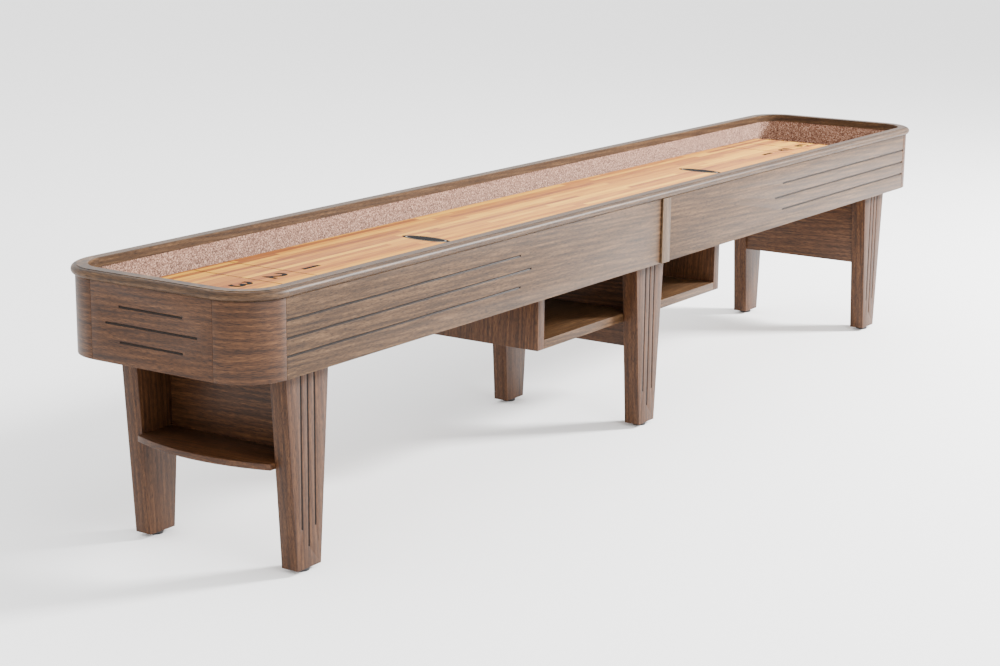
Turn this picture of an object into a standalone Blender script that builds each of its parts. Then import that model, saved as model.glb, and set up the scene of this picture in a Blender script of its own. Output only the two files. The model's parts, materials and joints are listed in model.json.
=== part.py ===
"""Shuffleboard table: a long oak cabinet on six tapered legs, with a recessed playfield.

Units are metres. X runs along the table, Y across it and Z up; the origin is on the
floor under the middle of the table.
"""
import math

import bmesh
import bpy
from mathutils import Matrix, Vector

# Cabinet
BODY_LENGTH = 4.268
BODY_WIDTH = 0.710
APRON_BOTTOM = 0.584
APRON_HEIGHT = 0.222
APRON_THICKNESS = 0.030
CORNER_RADIUS = 0.137
CORNER_STEPS = 10
BATTEN_WIDTH = 0.052
BATTEN_THICKNESS = 0.007
FLOOR_THICKNESS = 0.018
CARPET_THICKNESS = 0.004

# Top rail
RAIL_THICKNESS = 0.028
RAIL_WIDTH = 0.048
RAIL_OVERHANG = 0.012
RAIL_QUIRK = 0.0015
RAIL_NOSE_STEPS = 5

# Decorative grooves
GROOVE_RADIUS = 0.0035
GROOVE_SPACING = 0.049
SIDE_GROOVE_LENGTHS = (1.110, 1.170, 1.110)
END_GROOVE_LENGTHS = (0.228, 0.330, 0.228)
FLUTE_SPACING = 0.029
FLUTE_BOTTOMS = (0.127, 0.072, 0.127)

# Playfield and what carries it
PLAYFIELD_LENGTH = 3.690
PLAYFIELD_WIDTH = 0.508
PLAYFIELD_THICKNESS = 0.057
PLAYFIELD_DROP = 0.048
CRADLE_WIDTH = 0.090
CRADLE_LENGTH = 0.490
CRADLE_SPACING = 1.300
ADJUSTER_SPACING = 0.650
ADJUSTER_LENGTH = 0.400
ADJUSTER_WIDTH = 0.040
ADJUSTER_PLATE = 0.008
ADJUSTER_DEPTH = 0.040
ADJUSTER_ROD_RADIUS = 0.006

# Legs, panels and shelves
LEG_SPACING = 1.8495
LEG_FACE = 0.302
LEG_THICKNESS = 0.057
LEG_TOP_HALF = 0.092
LEG_FOOT_HALF = 0.051
LEG_LIFT = 0.012
PANEL_THICKNESS = 0.018
PANEL_OFFSET = 0.050
END_PANEL_BOTTOM = 0.290
MIDDLE_PANEL_THICKNESS = 0.022
MIDDLE_PANEL_BOTTOM = 0.273
SHELF_TOP = 0.320
SHELF_THICKNESS = 0.018
SHELF_REACH = 0.0925
SHELF_BOW = 0.044
SHELF_STEPS = 12

# Storage box between the middle legs
BOX_HALF_LENGTH = 0.612
BOX_SETBACK = 0.002
BOX_BOTTOM = 0.375
BOX_FLOOR_THICKNESS = 0.030
BOX_END_THICKNESS = 0.038

# Levelling feet
PAD_RADIUS = 0.0225
PAD_FLOOR = 0.004
STUD_RADIUS = 0.005
STUD_TOP = 0.080
STUD_CLEARANCE = 0.0006
BORE_HEADROOM = 0.008
FOOT_STEPS = 20

GAP = 0.0003

HALF_LENGTH = BODY_LENGTH / 2
HALF_WIDTH = BODY_WIDTH / 2
STRAIGHT_X = HALF_LENGTH - CORNER_RADIUS
STRAIGHT_Y = HALF_WIDTH - CORNER_RADIUS
APRON_TOP = APRON_BOTTOM + APRON_HEIGHT
FLOOR_TOP = APRON_BOTTOM + FLOOR_THICKNESS
PLAYFIELD_TOP = APRON_TOP - PLAYFIELD_DROP
PLAYFIELD_BOTTOM = PLAYFIELD_TOP - PLAYFIELD_THICKNESS
LEG_TOP = APRON_BOTTOM - GAP
LEG_INNER = LEG_FACE - LEG_THICKNESS
LEG_CENTRE_Y = LEG_FACE - LEG_THICKNESS / 2
INNER_REACH = LEG_INNER - GAP
OVERCUT = 0.002

ENDS = {"left": -1, "right": 1}
SIDES = {"front": -1, "back": 1}

# Colour, roughness and metallic value of each finish
FINISHES = {
    "oak": ((0.26, 0.17, 0.11), 0.55, 0.0),
    "maple": ((0.72, 0.42, 0.18), 0.25, 0.0),
    "carpet": ((0.50, 0.35, 0.27), 0.95, 0.0),
    "plywood": ((0.55, 0.42, 0.28), 0.70, 0.0),
    "steel": ((0.45, 0.45, 0.46), 0.40, 1.0),
    "black_rubber": ((0.02, 0.02, 0.02), 0.70, 0.0),
}


def clear_scene():
    """Remove whatever the scene held before."""
    for item in list(bpy.data.objects):
        bpy.data.objects.remove(item, do_unlink=True)


def new_collection(name):
    """Add a collection to the scene."""
    collection = bpy.data.collections.new(name)
    bpy.context.scene.collection.children.link(collection)
    return collection


def finish(name):
    """Make one sub-part's own material from a named finish."""
    colour, roughness, metallic = FINISHES[name]
    material = bpy.data.materials.new(name)
    material.use_nodes = True
    shader = material.node_tree.nodes["Principled BSDF"]
    shader.inputs["Base Color"].default_value = (*colour, 1.0)
    shader.inputs["Roughness"].default_value = roughness
    shader.inputs["Metallic"].default_value = metallic
    return material


def add_object(name, bm, surface, smooth=False):
    """Put a finished bmesh in the scene as a named part."""
    bmesh.ops.recalc_face_normals(bm, faces=bm.faces)
    mesh = bpy.data.meshes.new(name)
    bm.to_mesh(mesh)
    bm.free()
    if smooth:
        mesh.shade_smooth()
        mesh.set_sharp_from_angle(angle=math.radians(35))
    mesh.materials.append(finish(surface))
    part = bpy.data.objects.new(name, mesh)
    TABLE.objects.link(part)
    return part


def board(name, low, high, surface):
    """A rectangular board between two opposite corners, in either order."""
    ends = [sorted(pair) for pair in zip(low, high)]
    size = Vector([pair[1] - pair[0] for pair in ends])
    centre = Vector([(pair[0] + pair[1]) / 2 for pair in ends])
    bm = bmesh.new()
    bmesh.ops.create_cube(bm, size=1.0, matrix=Matrix.Diagonal((*size, 1.0)))
    part = add_object(name, bm, surface)
    part.location = centre
    return part


def extruded(name, outline, along, surface, smooth=False):
    """A flat outline of points, drawn out by a vector."""
    bm = bmesh.new()
    face = bm.faces.new([bm.verts.new(point) for point in outline])
    drawn = bmesh.ops.extrude_face_region(bm, geom=[face])
    moved = [item for item in drawn["geom"] if isinstance(item, bmesh.types.BMVert)]
    bmesh.ops.translate(bm, verts=moved, vec=along)
    return add_object(name, bm, surface, smooth)


def turned_corner(name, profile, corner, surface):
    """A profile of (radius, height) points swept a quarter turn round a cabinet corner."""
    end, side = corner
    bm = bmesh.new()
    face = bm.faces.new([bm.verts.new((radius, 0, height)) for radius, height in profile])
    trim = GAP / CORNER_RADIUS
    start = math.atan2(side, end) - math.pi / 4 + trim
    bmesh.ops.rotate(bm, verts=bm.verts, matrix=Matrix.Rotation(start, 3, "Z"))
    bmesh.ops.spin(
        bm,
        geom=[face, *face.edges, *face.verts],
        axis=(0, 0, 1),
        angle=math.pi / 2 - 2 * trim,
        steps=CORNER_STEPS,
    )
    part = add_object(name, bm, surface, smooth=True)
    part.location = (end * STRAIGHT_X, side * STRAIGHT_Y, 0)
    return part


def rod(name, radius, start, end, surface, steps=FOOT_STEPS):
    """A round bar between two points, with its origin at its middle."""
    start, end = Vector(start), Vector(end)
    turn = (end - start).to_track_quat("Z", "Y").to_matrix().to_4x4()
    bm = bmesh.new()
    bmesh.ops.create_cone(
        bm,
        cap_ends=True,
        segments=steps,
        radius1=radius,
        radius2=radius,
        depth=(end - start).length,
        matrix=turn,
    )
    part = add_object(name, bm, surface, smooth=True)
    part.location = (start + end) / 2
    return part


def cut(part, cutters):
    """Take the cutters' shapes out of a part."""
    for cutter in cutters:
        TABLE.objects.unlink(cutter)
        CUTTERS.objects.link(cutter)
        cutter.hide_render = True
        cutter.display_type = "WIRE"
        modifier = part.modifiers.new(cutter.name, "BOOLEAN")
        modifier.operation = "DIFFERENCE"
        modifier.solver = "EXACT"
        modifier.object = cutter


def groove(part, start, end):
    """Cut a half-round groove in a face, along a line that lies in it."""
    label = f"groove_cutter_{len(CUTTERS.objects)}"
    cut(part, [rod(label, GROOVE_RADIUS, start, end, "oak", steps=8)])


def row_offsets(spacing):
    """Places of three grooves about their middle, from the highest down."""
    return (spacing, 0.0, -spacing)


def build_aprons():
    """Side boards in two halves, end boards, corner posts and joint battens."""
    middle = APRON_BOTTOM + APRON_HEIGHT / 2
    for side, y_sign in SIDES.items():
        face = y_sign * HALF_WIDTH
        for end, x_sign in ENDS.items():
            low = (x_sign * GAP / 2, face - y_sign * APRON_THICKNESS, APRON_BOTTOM)
            high = (x_sign * (STRAIGHT_X - GAP), face, APRON_TOP)
            part = board(f"side_apron_{side}_{end}", low, high, "oak")
            for offset, length in zip(row_offsets(GROOVE_SPACING), SIDE_GROOVE_LENGTHS):
                outer = (x_sign * (STRAIGHT_X + OVERCUT), face, middle + offset)
                inner = (x_sign * (STRAIGHT_X - length), face, middle + offset)
                groove(part, outer, inner)
            post = [
                (CORNER_RADIUS - APRON_THICKNESS, APRON_BOTTOM),
                (CORNER_RADIUS, APRON_BOTTOM),
                (CORNER_RADIUS, APRON_TOP),
                (CORNER_RADIUS - APRON_THICKNESS, APRON_TOP),
            ]
            turned_corner(f"corner_post_{side}_{end}", post, (x_sign, y_sign), "oak")
        low = (-BATTEN_WIDTH / 2, face + y_sign * GAP, APRON_BOTTOM)
        high = (BATTEN_WIDTH / 2, face + y_sign * BATTEN_THICKNESS, APRON_TOP)
        board(f"joint_batten_{side}", low, high, "oak")
    for end, x_sign in ENDS.items():
        face = x_sign * HALF_LENGTH
        low = (face - x_sign * APRON_THICKNESS, -(STRAIGHT_Y - GAP), APRON_BOTTOM)
        high = (face, STRAIGHT_Y - GAP, APRON_TOP)
        part = board(f"end_apron_{end}", low, high, "oak")
        for offset, length in zip(row_offsets(GROOVE_SPACING), END_GROOVE_LENGTHS):
            height = middle + offset
            groove(part, (face, -length / 2, height), (face, length / 2, height))


def rail_profile():
    """Rail section as (distance out from the body's face, height), with a quirk and a round nose."""
    bottom = APRON_TOP + GAP
    top = APRON_TOP + RAIL_THICKNESS
    nose = (top - RAIL_QUIRK - bottom) / 2
    centre = (RAIL_OVERHANG - nose, bottom + nose)
    inner = RAIL_OVERHANG - RAIL_WIDTH
    points = [(inner, bottom)]
    for step in range(RAIL_NOSE_STEPS + 1):
        angle = math.pi * (step / RAIL_NOSE_STEPS - 0.5)
        points.append((centre[0] + nose * math.cos(angle), centre[1] + nose * math.sin(angle)))
    points += [(centre[0] - RAIL_QUIRK, top), (inner, top)]
    return points


def build_rails():
    """Four straight rails and the quarter rounds that join them."""
    profile = rail_profile()
    for side, y_sign in SIDES.items():
        start = -(STRAIGHT_X - GAP)
        outline = [(start, y_sign * (HALF_WIDTH + out), height) for out, height in profile]
        extruded(f"side_rail_{side}", outline, (-2 * start, 0, 0), "oak", smooth=True)
    for end, x_sign in ENDS.items():
        start = -(STRAIGHT_Y - GAP)
        outline = [(x_sign * (HALF_LENGTH + out), start, height) for out, height in profile]
        extruded(f"end_rail_{end}", outline, (0, -2 * start, 0), "oak", smooth=True)
        for side, y_sign in SIDES.items():
            swept = [(CORNER_RADIUS + out, height) for out, height in profile]
            turned_corner(f"rail_corner_{side}_{end}", swept, (x_sign, y_sign), "oak")


def half_ring(x_sign, inset):
    """Points of a half of the cabinet's plan, inset from its outer face, from y low to y high."""
    radius = CORNER_RADIUS - inset
    points = []
    for y_sign, first, last in ((-1, -90, 0), (1, 0, 90)):
        for step in range(CORNER_STEPS + 1):
            angle = math.radians(first + (last - first) * step / CORNER_STEPS)
            x = STRAIGHT_X + radius * math.cos(angle)
            y = y_sign * STRAIGHT_Y + radius * math.sin(angle)
            points.append((x_sign * x, y))
    return points


def build_cabinet_inside():
    """Floor boards, carpet lining, cradle blocks, playfield and climatic adjusters."""
    split = GAP / 2
    for end, x_sign in ENDS.items():
        edge = half_ring(x_sign, APRON_THICKNESS + GAP)
        reach = edge[-1][1]
        plan = [(x_sign * split, -reach), *edge, (x_sign * split, reach)]
        outline = [(x, y, APRON_BOTTOM) for x, y in plan]
        extruded(f"cabinet_floor_{end}", outline, (0, 0, FLOOR_THICKNESS), "plywood")
        inner = half_ring(x_sign, APRON_THICKNESS + GAP + CARPET_THICKNESS)
        low_y = inner[-1][1]
        lining = [*plan, (x_sign * split, low_y), *reversed(inner), (x_sign * split, -low_y)]
        outline = [(x, y, FLOOR_TOP + GAP) for x, y in lining]
        height = APRON_HEIGHT - FLOOR_THICKNESS - 2 * GAP
        extruded(f"carpet_lining_{end}", outline, (0, 0, height), "carpet", smooth=True)
    half = Vector((PLAYFIELD_LENGTH / 2, PLAYFIELD_WIDTH / 2, 0))
    low = (-half.x, -half.y, PLAYFIELD_BOTTOM)
    board("playfield", low, (half.x, half.y, PLAYFIELD_TOP), "maple")
    for name, x in (("left", -CRADLE_SPACING), ("middle", 0.0), ("right", CRADLE_SPACING)):
        low = (x - CRADLE_WIDTH / 2, -CRADLE_LENGTH / 2, FLOOR_TOP + GAP)
        high = (x + CRADLE_WIDTH / 2, CRADLE_LENGTH / 2, PLAYFIELD_BOTTOM - GAP)
        board(f"cradle_block_{name}", low, high, "plywood")
    for end, x_sign in ENDS.items():
        build_adjuster(end, x_sign * ADJUSTER_SPACING)


def build_adjuster(end, x):
    """A steel channel under the playfield, with a threaded rod through its two lugs."""
    top = PLAYFIELD_BOTTOM - GAP
    web = top - ADJUSTER_PLATE
    foot = top - ADJUSTER_DEPTH
    reach = ADJUSTER_LENGTH / 2
    inside = reach - ADJUSTER_PLATE
    section = [(-reach, foot), (-inside, foot), (-inside, web), (inside, web)]
    section += [(inside, foot), (reach, foot), (reach, top), (-reach, top)]
    outline = [(x - ADJUSTER_WIDTH / 2, y, z) for y, z in section]
    bar = extruded(f"adjuster_bar_{end}", outline, (ADJUSTER_WIDTH, 0, 0), "steel")
    height = (web + foot) / 2
    past = reach + ADJUSTER_PLATE
    bore = ADJUSTER_ROD_RADIUS + STUD_CLEARANCE
    cut(bar, [rod(f"rod_bore_{end}", bore, (x, -past, height), (x, past, height), "steel")])
    rod(f"adjuster_rod_{end}", ADJUSTER_ROD_RADIUS, (x, -past, height), (x, past, height), "steel")


def leg_half_at(height):
    """Half the leg's width along the table at a height."""
    share = (height - LEG_LIFT) / (LEG_TOP - LEG_LIFT)
    return LEG_FOOT_HALF + (LEG_TOP_HALF - LEG_FOOT_HALF) * share


def build_leg(place, side, x, y_sign):
    """One tapered leg, with its flutes, stud bore, stud and pad."""
    face = y_sign * LEG_FACE
    outline = [
        (x - LEG_FOOT_HALF, face, LEG_LIFT),
        (x + LEG_FOOT_HALF, face, LEG_LIFT),
        (x + LEG_TOP_HALF, face, LEG_TOP),
        (x - LEG_TOP_HALF, face, LEG_TOP),
    ]
    leg = extruded(f"leg_{side}_{place}", outline, (0, -y_sign * LEG_THICKNESS, 0), "oak")
    for offset, bottom in zip(row_offsets(FLUTE_SPACING), FLUTE_BOTTOMS):
        groove(leg, (x + offset, face, bottom), (x + offset, face, LEG_TOP + OVERCUT))
    y = y_sign * LEG_CENTRE_Y
    bore = STUD_RADIUS + STUD_CLEARANCE
    bore_top = STUD_TOP + BORE_HEADROOM
    label = f"{side}_{place}"
    cut(leg, [rod(f"stud_bore_{label}", bore, (x, y, -OVERCUT), (x, y, bore_top), "steel")])
    pad_top = LEG_LIFT - GAP
    pad = rod(f"leveller_pad_{label}", PAD_RADIUS, (x, y, 0), (x, y, pad_top), "black_rubber")
    cut(pad, [rod(f"socket_{label}", bore, (x, y, PAD_FLOOR), (x, y, LEG_LIFT), "steel")])
    rod(f"leveller_stud_{label}", STUD_RADIUS, (x, y, PAD_FLOOR + GAP), (x, y, STUD_TOP), "steel")


def build_legs():
    """Three pairs of legs, with a panel across each pair."""
    for place, x in (("left", -LEG_SPACING), ("middle", 0.0), ("right", LEG_SPACING)):
        for side, y_sign in SIDES.items():
            build_leg(place, side, x, y_sign)
    half = MIDDLE_PANEL_THICKNESS / 2
    low = (-half, -INNER_REACH, MIDDLE_PANEL_BOTTOM)
    board("leg_panel_middle", low, (half, INNER_REACH, LEG_TOP), "oak")
    for end, x_sign in ENDS.items():
        outer = x_sign * (LEG_SPACING - PANEL_OFFSET)
        inner = outer - x_sign * PANEL_THICKNESS
        low = (inner, -INNER_REACH, END_PANEL_BOTTOM)
        board(f"leg_panel_{end}", low, (outer, INNER_REACH, LEG_TOP), "oak")
        build_shelf(end, x_sign, outer + x_sign * GAP)


def build_shelf(end, x_sign, back):
    """The bow-fronted shelf between two end legs."""
    front = LEG_SPACING + SHELF_REACH
    bow = []
    for step in range(SHELF_STEPS + 1):
        share = 2 * step / SHELF_STEPS - 1
        bow.append((x_sign * (front + SHELF_BOW * (1 - share * share)), share * INNER_REACH))
    plan = [(back, -INNER_REACH), *bow, (back, INNER_REACH)]
    outline = [(x, y, SHELF_TOP - SHELF_THICKNESS) for x, y in plan]
    extruded(f"bow_shelf_{end}", outline, (0, 0, SHELF_THICKNESS), "oak")


def build_storage_box():
    """Two open bays on either side of the middle leg panel."""
    depth = LEG_INNER - BOX_SETBACK
    inside = BOX_HALF_LENGTH - BOX_END_THICKNESS
    for end, x_sign in ENDS.items():
        low = (x_sign * inside, -depth, BOX_BOTTOM)
        high = (x_sign * BOX_HALF_LENGTH, depth, LEG_TOP)
        board(f"box_end_{end}", low, high, "oak")
        start = x_sign * (MIDDLE_PANEL_THICKNESS / 2 + GAP)
        low = (start, -depth, BOX_BOTTOM)
        high = (x_sign * (inside - GAP), depth, BOX_BOTTOM + BOX_FLOOR_THICKNESS)
        board(f"box_floor_{end}", low, high, "oak")


clear_scene()
TABLE = new_collection("shuffleboard_table")
CUTTERS = new_collection("cutters")
build_aprons()
build_rails()
build_cabinet_inside()
build_legs()
build_storage_box()
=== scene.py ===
"""Shuffleboard table in limed oak, dressed and lit in a plain studio."""
import json
import logging
import math
from dataclasses import dataclass
from enum import Enum

import bmesh
import bpy
from mathutils import Matrix, Vector


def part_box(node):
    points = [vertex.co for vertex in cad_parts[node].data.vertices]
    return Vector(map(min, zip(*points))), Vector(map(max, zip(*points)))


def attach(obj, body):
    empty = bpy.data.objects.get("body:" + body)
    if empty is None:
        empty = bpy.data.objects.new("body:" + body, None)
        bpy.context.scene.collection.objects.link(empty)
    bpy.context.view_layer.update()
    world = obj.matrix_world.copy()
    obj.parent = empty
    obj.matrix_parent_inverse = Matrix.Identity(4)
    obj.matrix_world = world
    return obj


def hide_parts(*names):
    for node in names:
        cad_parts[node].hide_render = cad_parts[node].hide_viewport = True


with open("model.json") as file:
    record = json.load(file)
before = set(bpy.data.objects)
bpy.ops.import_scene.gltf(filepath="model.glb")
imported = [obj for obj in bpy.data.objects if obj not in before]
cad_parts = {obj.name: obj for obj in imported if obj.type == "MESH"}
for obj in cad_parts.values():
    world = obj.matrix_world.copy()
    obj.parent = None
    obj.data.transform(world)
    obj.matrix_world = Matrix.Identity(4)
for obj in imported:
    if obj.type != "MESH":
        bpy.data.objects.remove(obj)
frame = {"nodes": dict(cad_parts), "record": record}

LOG = logging.getLogger("shuffleboard_table")
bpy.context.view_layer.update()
MILLIMETRE = 0.001
MERGE = 0.00001
# A wave texture's bands are about this far apart at a scale of one.
BAND_SPACING = 0.314
ENDS = {"left": -1, "right": 1}
SIDES = {"front": -1, "back": 1}


class Grain(Enum):
    """The axes that a board's grain runs along; bent veneer follows the cabinet's plan."""

    LENGTH = (1, 0, 0)
    WIDTH = (0, 1, 0)
    HEIGHT = (0, 0, 1)
    BENT = (1, 1, 0)


def linear(hex_colour: str) -> tuple[float, float, float, float]:
    """Turn an sRGB hex colour into linear values.

    Args:
        hex_colour: Six hex digits after a hash sign.

    Returns:
        Red, green, blue and an alpha of one.
    """
    parts = [int(hex_colour[i : i + 2], 16) / 255 for i in (1, 3, 5)]
    flat = [c / 12.92 if c <= 0.04045 else ((c + 0.055) / 1.055) ** 2.4 for c in parts]
    return (*flat, 1.0)


def add_node(tree: bpy.types.NodeTree, kind: str, settings: dict, links: dict) -> bpy.types.Node:
    """Add one shader node.

    Args:
        tree: The material's node tree.
        kind: The node's type name.
        settings: Attributes, or input sockets by name, and their values.
        links: Input socket name or number, and the output that feeds it. A Mix node's sockets go by
            number: 2 and 3 for values, 6 and 7 for colours.

    Returns:
        The new node.
    """
    node = tree.nodes.new(kind)
    for name, value in settings.items():
        if name in node.inputs:
            node.inputs[name].default_value = value
        else:
            setattr(node, name, value)
    for name, output in links.items():
        tree.links.new(output, node.inputs[name])
    return node


def ramp(tree: bpy.types.NodeTree, source: bpy.types.NodeSocket, stops: list) -> bpy.types.NodeSocket:
    """Colour a value with a ramp.

    Args:
        tree: The material's node tree.
        source: The value to colour.
        stops: Pairs of place and hex colour, at least two.

    Returns:
        The colour output.
    """
    node = add_node(tree, "ShaderNodeValToRGB", {}, {"Fac": source})
    while len(node.color_ramp.elements) < len(stops):
        node.color_ramp.elements.new(0.5)
    for element, (place, colour) in zip(node.color_ramp.elements, stops):
        element.position = place
        element.color = linear(colour)
    return node.outputs["Color"]


def blank_material(name: str) -> tuple[bpy.types.Material, bpy.types.NodeTree, bpy.types.Node]:
    """Make a material that holds only its Principled shader.

    Args:
        name: The material's name.

    Returns:
        The material, its node tree and its shader.
    """
    material = bpy.data.materials.new(name)
    material.use_nodes = True
    tree = material.node_tree
    return material, tree, tree.nodes["Principled BSDF"]


@dataclass(frozen=True)
class GrainedWood:
    """Brushed wood under satin lacquer: dark open pores over a soft figure and faint rings."""

    name: str
    grain: Grain
    dark: str = "#26170c"
    middle: str = "#4c3520"
    light: str = "#75583b"
    # Each board is cut from its own place in the wood: its shift, taken by these shares along X, Y and Z.
    shift: float = 0.0
    shift_shares: tuple = (1.0, 0.7, 0.4)
    figure_mm: float = 10.0
    ring_mm: float = 9.0
    ring_share: float = 0.13
    # Real pores are about 0.3 mm wide; they are drawn wider so that they still show.
    pore_mm: float = 1.0
    stretch: float = 20.0
    roughness: float = 0.46

    def make(self) -> bpy.types.Material:
        """Build the material.

        Returns:
            The finished material.
        """
        material, tree, shader = blank_material(self.name)
        scale = [1 / self.stretch if along else 1.0 for along in self.grain.value]
        coordinates = add_node(tree, "ShaderNodeTexCoord", {}, {})
        mapping = add_node(
            tree,
            "ShaderNodeMapping",
            {"Scale": scale, "Location": [self.shift * share for share in self.shift_shares]},
            {"Vector": coordinates.outputs["Object"]},
        )
        place = mapping.outputs["Vector"]
        figure = add_node(
            tree,
            "ShaderNodeTexNoise",
            {
                "Scale": 1 / (self.figure_mm * MILLIMETRE),
                "Detail": 8.0,
                "Roughness": 0.72,
                "Distortion": 0.3,
            },
            {"Vector": place},
        )
        rings = add_node(
            tree,
            "ShaderNodeTexWave",
            {
                "bands_direction": "DIAGONAL",
                "Scale": BAND_SPACING / (self.ring_mm * MILLIMETRE),
                "Distortion": 9.0,
                "Detail": 3.0,
                "Detail Scale": 0.8,
            },
            {"Vector": place},
        )
        pores = add_node(
            tree,
            "ShaderNodeTexNoise",
            {"Scale": 1 / (self.pore_mm * MILLIMETRE), "Detail": 2.0, "Roughness": 0.6},
            {"Vector": place},
        )
        blend = add_node(
            tree,
            "ShaderNodeMix",
            {"data_type": "FLOAT", "Factor": self.ring_share},
            {2: figure.outputs["Fac"], 3: rings.outputs["Fac"]},
        )
        base = ramp(tree, blend.outputs[0], [(0.25, self.dark), (0.5, self.middle), (0.78, self.light)])
        pore_stops = [(0.38, "#5a5450"), (0.5, "#d9d4cf"), (0.66, "#ffffff")]
        open_pores = ramp(tree, pores.outputs["Fac"], pore_stops)
        grained = add_node(
            tree,
            "ShaderNodeMix",
            {"data_type": "RGBA", "blend_type": "MULTIPLY", "Factor": 0.85},
            {6: base, 7: open_pores},
        )
        tree.links.new(grained.outputs[2], shader.inputs["Base Color"])
        bump = add_node(
            tree, "ShaderNodeBump", {"Strength": 0.25, "Distance": 0.0006}, {"Height": pores.outputs["Fac"]}
        )
        tree.links.new(bump.outputs["Normal"], shader.inputs["Normal"])
        shader.inputs["Roughness"].default_value = self.roughness
        shader.inputs["Specular IOR Level"].default_value = 0.22
        return material


@dataclass(frozen=True)
class MapleStaves:
    """Hard maple staves glued edge to edge under clear lacquer: striped, with a low shine."""

    name: str = "maple_staves_lacquered"
    stave_mm: float = 22.0
    stave_length_mm: float = 900.0
    fibre_scale: float = 9.0
    fibre_stretch: float = 14.0
    tones: tuple = ((0.25, "#7c3c00"), (0.42, "#a26000"), (0.58, "#ba7a04"), (0.78, "#d39a1c"))

    def make(self) -> bpy.types.Material:
        """Build the material.

        Returns:
            The finished material.
        """
        material, tree, shader = blank_material(self.name)
        coordinates = add_node(tree, "ShaderNodeTexCoord", {}, {})
        split = add_node(tree, "ShaderNodeSeparateXYZ", {}, {"Vector": coordinates.outputs["Object"]})
        across = add_node(tree, "ShaderNodeMath", {"operation": "DIVIDE"}, {0: split.outputs["Y"]})
        across.inputs[1].default_value = self.stave_mm * MILLIMETRE
        row = add_node(tree, "ShaderNodeMath", {"operation": "FLOOR"}, {0: across.outputs[0]})
        stagger = add_node(tree, "ShaderNodeTexWhiteNoise", {"noise_dimensions": "1D"}, {"W": row.outputs[0]})
        along = add_node(tree, "ShaderNodeMath", {"operation": "DIVIDE"}, {0: split.outputs["X"]})
        along.inputs[1].default_value = self.stave_length_mm * MILLIMETRE
        slid = add_node(
            tree, "ShaderNodeMath", {"operation": "ADD"}, {0: along.outputs[0], 1: stagger.outputs["Value"]}
        )
        piece = add_node(tree, "ShaderNodeMath", {"operation": "FLOOR"}, {0: slid.outputs[0]})
        key = add_node(tree, "ShaderNodeCombineXYZ", {}, {"X": row.outputs[0], "Y": piece.outputs[0]})
        tone = add_node(
            tree, "ShaderNodeTexWhiteNoise", {"noise_dimensions": "2D"}, {"Vector": key.outputs["Vector"]}
        )
        stretched = add_node(
            tree,
            "ShaderNodeMapping",
            {"Scale": (1.0, self.fibre_stretch, self.fibre_stretch)},
            {"Vector": coordinates.outputs["Object"]},
        )
        fibre = add_node(
            tree,
            "ShaderNodeTexNoise",
            {"Scale": self.fibre_scale, "Detail": 5.0},
            {"Vector": stretched.outputs["Vector"]},
        )
        mixed = add_node(
            tree,
            "ShaderNodeMix",
            {"data_type": "FLOAT", "Factor": 0.5},
            {2: tone.outputs["Value"], 3: fibre.outputs["Fac"]},
        )
        colour = ramp(tree, mixed.outputs[0], list(self.tones))
        tree.links.new(colour, shader.inputs["Base Color"])
        shader.inputs["Roughness"].default_value = 0.5
        shader.inputs["Specular IOR Level"].default_value = 0.2
        shader.inputs["Coat Weight"].default_value = 0.06
        shader.inputs["Coat Roughness"].default_value = 0.15
        return material


@dataclass(frozen=True)
class Speckled:
    """Short looped carpet of mixed tan and cream yarns: matt, pebbly, speckled."""

    name: str = "looped_carpet"
    # Real loops are about 2 mm across; they are drawn larger so that they show.
    loop_mm: float = 4.5

    def make(self) -> bpy.types.Material:
        """Build the material.

        Returns:
            The finished material.
        """
        material, tree, shader = blank_material(self.name)
        coordinates = add_node(tree, "ShaderNodeTexCoord", {}, {})
        loops = add_node(
            tree,
            "ShaderNodeTexNoise",
            {"Scale": 1 / (self.loop_mm * MILLIMETRE), "Detail": 3.0, "Roughness": 0.7},
            {"Vector": coordinates.outputs["Object"]},
        )
        yarns = [(0.38, "#3d2214"), (0.46, "#6a4633"), (0.54, "#8c6550"), (0.64, "#b7947d")]
        tree.links.new(ramp(tree, loops.outputs["Fac"], yarns), shader.inputs["Base Color"])
        bump = add_node(
            tree, "ShaderNodeBump", {"Strength": 0.6, "Distance": 0.001}, {"Height": loops.outputs["Fac"]}
        )
        tree.links.new(bump.outputs["Normal"], shader.inputs["Normal"])
        shader.inputs["Roughness"].default_value = 0.95
        shader.inputs["Sheen Weight"].default_value = 0.2
        return material


@dataclass(frozen=True)
class MottledSolid:
    """A plain stock material whose tone and gloss drift a little, as on moulded or drawn pieces."""

    name: str
    low: str
    high: str
    roughness: float
    metallic: float = 0.0
    mottle_mm: float = 4.0
    shine: float = 0.5

    def make(self) -> bpy.types.Material:
        """Build the material.

        Returns:
            The finished material.
        """
        material, tree, shader = blank_material(self.name)
        coordinates = add_node(tree, "ShaderNodeTexCoord", {}, {})
        mottle = add_node(
            tree,
            "ShaderNodeTexNoise",
            {"Scale": 1 / (self.mottle_mm * MILLIMETRE), "Detail": 4.0},
            {"Vector": coordinates.outputs["Object"]},
        )
        colour = ramp(tree, mottle.outputs["Fac"], [(0.35, self.low), (0.65, self.high)])
        tree.links.new(colour, shader.inputs["Base Color"])
        bump = add_node(
            tree, "ShaderNodeBump", {"Strength": 0.1, "Distance": 0.0003}, {"Height": mottle.outputs["Fac"]}
        )
        tree.links.new(bump.outputs["Normal"], shader.inputs["Normal"])
        shader.inputs["Roughness"].default_value = self.roughness
        shader.inputs["Metallic"].default_value = self.metallic
        shader.inputs["Specular IOR Level"].default_value = self.shine
        return material


WARM = {"dark": "#23130a", "middle": "#4a2e1a", "light": "#6c492d"}
# Darker browns for the grooves: painted shade where shade falls in them, not a stain in the wood.
PAINTED_GROOVE_SHADE = {"dark": "#140c07", "middle": "#1f130b", "light": "#2c1c11"}

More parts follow.
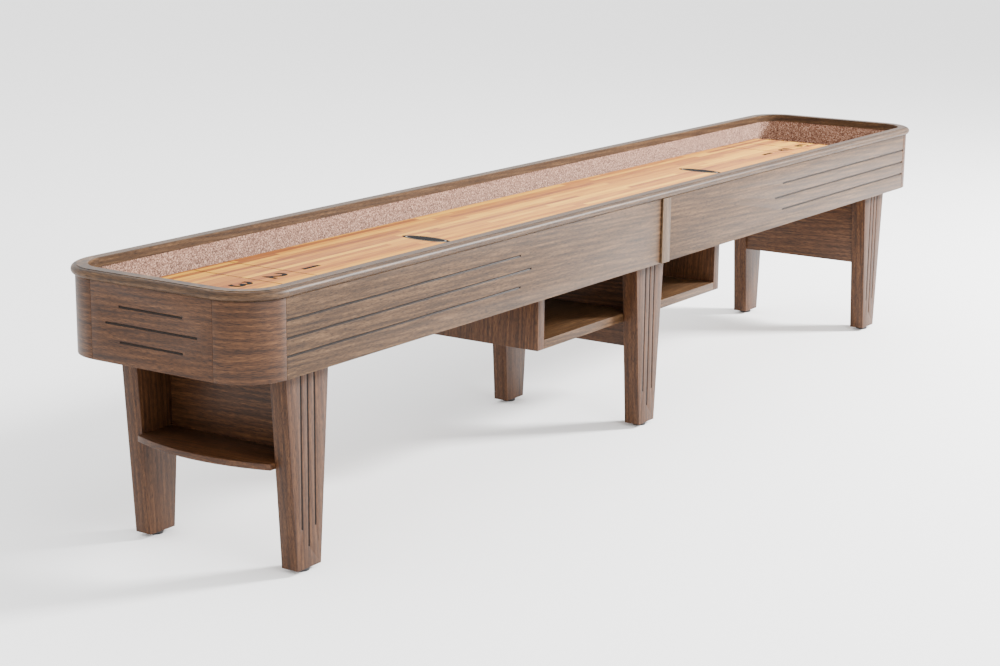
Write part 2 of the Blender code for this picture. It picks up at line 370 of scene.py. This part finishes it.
FINISHES: dict[str, bpy.types.Material] = {
    finish.name: finish.make()
    for finish in (
        GrainedWood("limed_oak_side", Grain.LENGTH),
        GrainedWood("limed_oak_end", Grain.WIDTH, **WARM, shift=1.3),
        GrainedWood("limed_oak_post", Grain.BENT, shift=2.1, **WARM),
        GrainedWood("limed_oak_batten", Grain.HEIGHT, shift=2.6, light="#75604a", middle="#5a4530"),
        # Painted shade for the grooves of the aprons and legs.
        GrainedWood("limed_oak_painted_groove_shade", Grain.LENGTH, **PAINTED_GROOVE_SHADE),
        GrainedWood("limed_oak_leg", Grain.HEIGHT, shift=3.7, **WARM),
        GrainedWood("limed_oak_panel", Grain.WIDTH, shift=5.2, **WARM),
        GrainedWood("limed_oak_rail_long", Grain.LENGTH, shift=6.4),
        GrainedWood("limed_oak_rail_short", Grain.BENT, shift=7.9),
        # Plywood shows the same figure and pores, paler and unstained.
        GrainedWood("birch_plywood", Grain.LENGTH, dark="#6a4a28", middle="#85643d", light="#9c7c52"),
        MapleStaves(),
        Speckled(),
        MottledSolid("zinc_plated_steel", "#8d9093", "#b4b6b8", 0.34, 1.0),
        MottledSolid("moulded_rubber", "#0b0b0c", "#161617", 0.6),
        MottledSolid("black_ink", "#050404", "#080706", 0.8, shine=0.1),
        MottledSolid("brown_ink", "#1c0c04", "#281408", 0.8, shine=0.1),
        MottledSolid("pale_enamel", "#6f6a62", "#858077", 0.7, shine=0.2),
    )
}


def start_alone(piece: bpy.types.Object) -> None:
    """Select one object and make it the active one.

    Args:
        piece: The object to work on.
    """
    bpy.ops.object.select_all(action="DESELECT")
    piece.select_set(True)
    bpy.context.view_layer.objects.active = piece


def settle(piece: bpy.types.Object, name: str, body: str, finish: str) -> None:
    """Name, dress and mount a finished piece, with its place in its mesh.

    Args:
        piece: The finished mesh object.
        name: The piece's name.
        body: The body that it rides on.
        finish: A name in FINISHES.
    """
    start_alone(piece)
    bpy.ops.object.transform_apply(location=True, rotation=True, scale=True)
    piece.name = name
    piece.data.materials.clear()
    piece.data.materials.append(FINISHES[finish])
    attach(piece, body)


@dataclass
class WorkedNode:
    """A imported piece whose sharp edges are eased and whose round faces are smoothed."""

    node: str
    finish: str
    ease: float = 0.0008
    flat_angle: float = math.radians(0.5)
    edge_angle: float = math.radians(50)
    smooth_angle: float = math.radians(38)
    # A face that gets the painted groove shade lies deeper than this inside the board's box and has less
    # area, in square metres.
    sunk: float = 0.001
    small_area: float = 0.008
    grooved: tuple = ("side_apron", "end_apron", "leg_front", "leg_back")

    def build(self) -> None:
        """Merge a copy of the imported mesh, ease its edges and dress it."""
        source = frame["nodes"][self.node]
        piece = bpy.data.objects.new(f"worked_{self.node}", source.data.copy())
        bpy.context.scene.collection.objects.link(piece)
        start_alone(piece)
        bpy.ops.object.mode_set(mode="EDIT")
        bpy.ops.mesh.select_all(action="SELECT")
        bpy.ops.mesh.remove_doubles(threshold=MERGE)
        bpy.ops.mesh.dissolve_limited(angle_limit=self.flat_angle)
        bpy.ops.object.mode_set(mode="OBJECT")
        if self.ease:
            bevel = piece.modifiers.new("eased_edges", "BEVEL")
            bevel.width = self.ease
            bevel.segments = 2
            bevel.limit_method = "ANGLE"
            bevel.angle_limit = self.edge_angle
            bpy.ops.object.modifier_apply(modifier=bevel.name)
        bpy.ops.object.shade_smooth_by_angle(angle=self.smooth_angle)
        body = body_of_node(self.node)
        settle(piece, f"worked_{self.node}", body, self.finish)
        # Grooved boards get painted shade in their grooves.
        if self.node.startswith(self.grooved):
            self.stain_grooves(piece)
        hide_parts(self.node)

    def stain_grooves(self, piece: bpy.types.Object) -> None:
        """Paint the shade that falls in the grooves onto the small faces sunk below the board's skin, as a
        darker brown.

        Args:
            piece: The dressed board.
        """
        low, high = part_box(self.node)
        # The second material is the painted groove shade.
        piece.data.materials.append(FINISHES["limed_oak_painted_groove_shade"])
        for face in piece.data.polygons:
            spaces = [min(c - a, b - c) for a, c, b in zip(low, face.center, high)]
            if min(spaces) > self.sunk and face.area < self.small_area:
                face.material_index = 1


def body_of_node(node: str) -> str:
    """Find the body that holds a node.

    Args:
        node: The node's name.

    Returns:
        The body's name.
    """
    bodies = frame["record"]["behaviour"]["bodies"]
    return next(body for body, nodes in bodies.items() if node in nodes)


@dataclass
class Cabinet:
    """Aprons, posts, battens, legs, panels, shelves, storage box and everything inside."""

    rules: tuple = (
        ("side_apron", "limed_oak_side"),
        ("joint_batten", "limed_oak_batten"),
        ("corner_post", "limed_oak_post"),
        ("end_apron", "limed_oak_end"),
        ("leg_panel", "limed_oak_panel"),
        ("leg_", "limed_oak_leg"),
        ("bow_shelf", "limed_oak_panel"),
        ("box_end", "limed_oak_leg"),
        ("box_floor", "limed_oak_side"),
        ("cabinet_floor", "birch_plywood"),
        ("cradle_block", "birch_plywood"),
        ("carpet_lining", "looped_carpet"),
        ("adjuster", "zinc_plated_steel"),
        ("leveller_stud", "zinc_plated_steel"),
        ("leveller_pad", "moulded_rubber"),
        ("playfield", "maple_staves_lacquered"),
    )
    unbevelled: tuple = ("carpet_lining", "leveller_stud", "adjuster_rod")

    def build(self) -> None:
        """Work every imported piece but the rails."""
        for node in sorted(frame["nodes"]):
            finish = next((look for start, look in self.rules if node.startswith(start)), None)
            if finish is None:
                continue
            if node.startswith(self.unbevelled):
                WorkedNode(node, finish, ease=0.0).build()
            else:
                WorkedNode(node, finish).build()
            LOG.info("worked %s", node)


@dataclass
class TopRail:
    """The rail round the cabinet: flat top, a fine quirk and a round nose."""

    nose_steps: int = 14
    corner_steps: int = 28
    quirk: float = 0.0015
    edge: float = 0.002
    seam: float = 0.0004
    smooth_angle: float = math.radians(32)

    def profile(self, inner: float, outer: float, low: float, high: float) -> list[tuple[float, float]]:
        """Points round the rail's section.

        Args:
            inner: Distance out to the rail's inner face.
            outer: Distance out to the nose.
            low: Height of the underside.
            high: Height of the top.

        Returns:
            Pairs of distance out and height.
        """
        nose = (high - self.quirk - low) / 2
        centre = (outer - nose, low + nose)
        points = [(inner, low)]
        for step in range(self.nose_steps + 1):
            angle = math.pi * (step / self.nose_steps - 0.5)
            points.append((centre[0] + nose * math.cos(angle), centre[1] + nose * math.sin(angle)))
        points += [(centre[0] - self.quirk, high - self.quirk), (centre[0] - self.quirk, high)]
        points += [(inner + self.edge, high), (inner, high - self.edge)]
        return points

    def section(self, points: list[Vector]) -> bpy.types.Object:
        """Add a round face and move its corners onto the rail's section.

        Args:
            points: The section's corners in space.

        Returns:
            The object, left in edit mode with its face selected.
        """
        bpy.ops.object.select_all(action="DESELECT")
        bpy.ops.mesh.primitive_circle_add(vertices=len(points), fill_type="NGON")
        bpy.ops.object.mode_set(mode="EDIT")
        piece = bpy.context.object
        shape = bmesh.from_edit_mesh(piece.data)
        for vertex, place in zip(next(iter(shape.faces)).verts, points):
            vertex.co = place
        bmesh.update_edit_mesh(piece.data)
        bpy.ops.mesh.select_all(action="SELECT")
        return piece

    def close(self, piece: bpy.types.Object, node: str, finish: str) -> None:
        """Turn the faces outwards, smooth the nose and mount the piece in place of its node.

        Args:
            piece: The swept piece, in edit mode.
            node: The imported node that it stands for.
            finish: A name in FINISHES.
        """
        bpy.ops.mesh.select_all(action="SELECT")
        bpy.ops.mesh.remove_doubles(threshold=MERGE)
        bpy.ops.mesh.normals_make_consistent(inside=False)
        bpy.ops.object.mode_set(mode="OBJECT")
        bpy.ops.object.shade_smooth_by_angle(angle=self.smooth_angle)
        settle(piece, f"moulded_{node}", body_of_node(node), finish)
        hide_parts(node)
        LOG.info("moulded %s", node)

    def build(self) -> None:
        """Make the four straight rails and the four corners."""
        low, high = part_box("side_rail_front")
        inner_depth = high[1] - low[1]
        front_out = -low[1]
        straight = -low[0]
        end_low, end_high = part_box("end_rail_right")
        end_out = end_high[0]
        straight_y = end_high[1]
        flat = self.profile(-inner_depth, 0.0, low[2], high[2])
        for side, sign in SIDES.items():
            points = [Vector((-straight, sign * (front_out + out), z)) for out, z in flat]
            piece = self.section(points)
            bpy.ops.mesh.extrude_region_move(TRANSFORM_OT_translate={"value": (2 * straight, 0, 0)})
            self.close(piece, f"side_rail_{side}", "limed_oak_rail_long")
        for end, sign in ENDS.items():
            points = [Vector((sign * (end_out + out), -straight_y, z)) for out, z in flat]
            piece = self.section(points)
            bpy.ops.mesh.extrude_region_move(TRANSFORM_OT_translate={"value": (0, 2 * straight_y, 0)})
            self.close(piece, f"end_rail_{end}", "limed_oak_rail_short")
            for side, side_sign in SIDES.items():
                self.corner(end, sign, side, side_sign, flat, front_out - straight_y)

    def corner(self, end: str, x_sign: int, side: str, y_sign: int, flat: list, radius: float) -> None:
        """Sweep the section a quarter turn round one corner.

        Args:
            end: Name of the table's end.
            x_sign: Its sign along the table.
            side: Name of the table's side.
            y_sign: Its sign across the table.
            flat: The rail's section, measured out from the nose.
            radius: The nose's radius in plan.
        """
        straight_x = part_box("side_rail_front")[1][0]
        straight_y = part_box("end_rail_right")[1][1]
        centre = Vector((x_sign * straight_x, y_sign * straight_y, 0))
        start = math.atan2(y_sign, x_sign) - math.pi / 4 + self.seam / radius
        heading = Vector((math.cos(start), math.sin(start), 0))
        points = [centre + heading * (radius + out) + Vector((0, 0, z)) for out, z in flat]
        piece = self.section(points)
        bpy.ops.mesh.spin(
            steps=self.corner_steps,
            angle=-(math.pi / 2 - 2 * self.seam / radius),
            center=centre,
            axis=(0, 0, 1),
        )
        self.close(piece, f"rail_corner_{side}_{end}", "limed_oak_rail_short")


@dataclass
class Markings:
    """Zone lines, generic scoring numbers and two plain oval medallions on the playfield."""

    zone: float = 0.1524
    line_width: float = 0.0036
    ink: float = 0.0002
    number_height: float = 0.074
    boldness: float = 0.0026
    # A digit stands about this much lower than its type size.
    type_share: float = 1.4
    medallion_place: float = 0.89
    medallion_reach: float = 0.090
    medallion_depth: float = 0.032
    oval_points: int = 72
    # The record has no slot for ink, so the marks take its black one.
    slot: str = "black_rubber"

    def strip(self, name: str, x: float, half_width: float, top: float) -> None:
        """Lay one line across the playfield.

        Args:
            name: The line's name.
            x: Its place along the table.
            half_width: Half the playfield's width.
            top: Height of the playfield's face.
        """
        bpy.ops.object.select_all(action="DESELECT")
        bpy.ops.mesh.primitive_plane_add(size=1, location=(x, 0, top))
        piece = bpy.context.object
        piece.scale = (self.line_width, 2 * half_width, 1)
        self.raise_face(piece)
        settle(piece, name, "table", "brown_ink")

    def raise_face(self, piece: bpy.types.Object) -> None:
        """Give a flat face the thickness of the ink.

        Args:
            piece: The flat face, placed and scaled.
        """
        start_alone(piece)
        bpy.ops.object.transform_apply(location=True, rotation=True, scale=True)
        bpy.ops.object.mode_set(mode="EDIT")
        bpy.ops.mesh.select_all(action="SELECT")
        bpy.ops.mesh.extrude_region_move(TRANSFORM_OT_translate={"value": (0, 0, self.ink)})
        bpy.ops.mesh.select_all(action="SELECT")
        bpy.ops.mesh.normals_make_consistent(inside=False)
        bpy.ops.object.mode_set(mode="OBJECT")

    def number(self, value: int, end: str, sign: int, x: float, top: float) -> None:
        """Print one scoring number, read from its own end of the table.

        Args:
            value: The number.
            end: Name of the table's end.
            sign: Its sign along the table.
            x: The number's place along the table.
            top: Height of the playfield's face.
        """
        bpy.ops.object.select_all(action="DESELECT")
        bpy.ops.object.text_add(location=(0, 0, 0))
        piece = bpy.context.object
        piece.data.body = str(value)
        piece.data.align_x = "CENTER"
        piece.data.align_y = "CENTER"
        piece.data.size = self.number_height * self.type_share
        piece.data.extrude = self.ink / 2
        piece.data.offset = self.boldness
        bpy.ops.object.convert(target="MESH")
        piece = bpy.context.object
        piece.location = (x, 0, top + self.ink)
        piece.rotation_euler = (0, 0, sign * math.pi / 2)
        settle(piece, f"number_{value}_{end}", "table", "black_ink")

    def medallion(self, end: str, sign: int, top: float) -> None:
        """Set one plain oval in the playfield, with a pale line inside its rim.

        Args:
            end: Name of the table's end.
            sign: Its sign along the table.
            top: Height of the playfield's face.
        """
        for name, share, layer, finish in (
            ("medallion_field", 1.0, 0, "black_ink"),
            ("medallion_band", 0.86, 1, "pale_enamel"),
            ("medallion_centre", 0.80, 2, "black_ink"),
        ):
            bpy.ops.object.select_all(action="DESELECT")
            bpy.ops.mesh.primitive_circle_add(vertices=self.oval_points, radius=1, fill_type="NGON")
            piece = bpy.context.object
            piece.location = (sign * self.medallion_place, 0, top + layer * self.ink)
            piece.scale = (self.medallion_depth * share, self.medallion_reach * share, 1)
            self.raise_face(piece)
            settle(piece, f"{name}_{end}", "table", finish)

    def build(self) -> None:
        """Mark both ends of the playfield."""
        low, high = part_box("playfield")
        for end, sign in ENDS.items():
            for count in (1, 2):
                x = sign * (high[0] - count * self.zone)
                self.strip(f"zone_line_{count}_{end}", x, high[1], high[2])
            for place, value in enumerate((3, 2, 1)):
                x = sign * (high[0] - (place + 0.5) * self.zone)
                self.number(value, end, sign, x, high[2])
            self.medallion(end, sign, high[2])
            LOG.info("marked the %s end", end)


@dataclass
class Studio:
    """A pale floor, soft lights and the camera."""

    eye: tuple = (-6.084, -3.773, 1.951)
    yaw: float = 0.5916
    pitch: float = 0.2288
    roll: float = 0.00996
    lens: float = 74.9
    aim_height: float = 0.4
    sky: float = 2.3
    floor_size: float = 80.0
    # Each lamp's name, place, power in watts and side in metres.
    lamps: tuple = (
        ("key_lamp", (5.5, -5.0, 4.5), 2700.0, 1.6),
        ("fill_lamp", (-2.5, -5.5, 3.0), 200.0, 3.0),
    )

    def camera(self) -> None:
        """Place the camera by its heading, pitch and roll."""
        ahead = Vector(
            (
                math.cos(self.yaw) * math.cos(self.pitch),
                math.sin(self.yaw) * math.cos(self.pitch),
                -math.sin(self.pitch),
            )
        )
        level = Vector((math.sin(self.yaw), -math.cos(self.yaw), 0))
        above = level.cross(ahead)
        right = level * math.cos(self.roll) + above * math.sin(self.roll)
        up = above * math.cos(self.roll) - level * math.sin(self.roll)
        turn = Matrix((right, up, -ahead)).transposed().to_4x4()
        data = bpy.data.cameras.new("studio_camera")
        data.lens = self.lens
        camera = bpy.data.objects.new("studio_camera", data)
        camera.matrix_world = Matrix.Translation(self.eye) @ turn
        bpy.context.scene.collection.objects.link(camera)
        bpy.context.scene.camera = camera

    def lamp(self, name: str, place: tuple, power: float, size: float) -> None:
        """Hang one soft square lamp that faces the table.

        Args:
            name: The lamp's name.
            place: Where it hangs.
            power: Its power in watts.
            size: The length of its side.
        """
        data = bpy.data.lights.new(name, "AREA")
        data.energy = power
        data.size = size
        lamp = bpy.data.objects.new(name, data)
        lamp.location = place
        heading = Vector((0, 0, self.aim_height)) - Vector(place)
        lamp.rotation_euler = heading.to_track_quat("-Z", "Y").to_euler()
        bpy.context.scene.collection.objects.link(lamp)

    def build(self) -> None:
        """Lay the floor, hang the lamps and place the camera."""
        bpy.ops.object.select_all(action="DESELECT")
        bpy.ops.mesh.primitive_plane_add(size=self.floor_size, location=(0, 0, 0))
        floor = bpy.context.object
        floor.name = "studio_floor"
        material, _tree, shader = blank_material("white_paper")
        shader.inputs["Base Color"].default_value = linear("#f7f7f7")
        shader.inputs["Roughness"].default_value = 0.9
        floor.data.materials.append(material)
        world = bpy.data.worlds.new("studio_world")
        world.use_nodes = True
        background = world.node_tree.nodes["Background"]
        background.inputs["Color"].default_value = linear("#ffffff")
        background.inputs["Strength"].default_value = self.sky
        bpy.context.scene.world = world
        for name, place, power, size in self.lamps:
            self.lamp(name, place, power, size)
        self.camera()


def main() -> None:
    """Build the table's sub-assemblies in order, then the studio."""
    logging.basicConfig(level=logging.INFO)
    for part in (Cabinet(), TopRail(), Markings(), Studio()):
        part.build()
        LOG.info("built %s", type(part).__name__)


if __name__ == "__main__":
    main()
